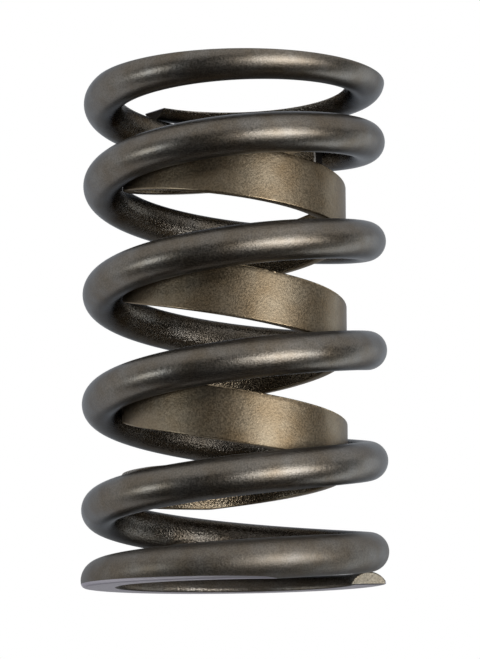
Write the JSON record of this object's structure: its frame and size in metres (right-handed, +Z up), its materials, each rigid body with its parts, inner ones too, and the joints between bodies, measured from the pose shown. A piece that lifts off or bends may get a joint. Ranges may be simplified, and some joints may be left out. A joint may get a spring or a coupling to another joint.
{
  "type": "valve spring",
  "caption": "Round-wire helical compression spring with ground ends, and a flat-wire friction damper wound the other way inside it.",
  "frame": {"origin": "centre of the lower ground end, on the plane it stands on", "axes": "+Z up along the spring's axis, from the head's spring seat to the retainer; the lower wire tip lies 3.5 degrees from +X towards +Y, and the coils lean 0.73 degrees towards +X about the middle of the height"},
  "size_m": [0.0326, 0.032, 0.0532],
  "materials": {
    "spring_steel": "shot-peened satin steel, ground at the ends",
    "damper_steel": "shot-peened satin steel strip, a little lighter and warmer"
  },
  "bodies": {
    "root": {"outer_spring": "spring_steel", "damper": "damper_steel"}
  },
  "joints": []
}
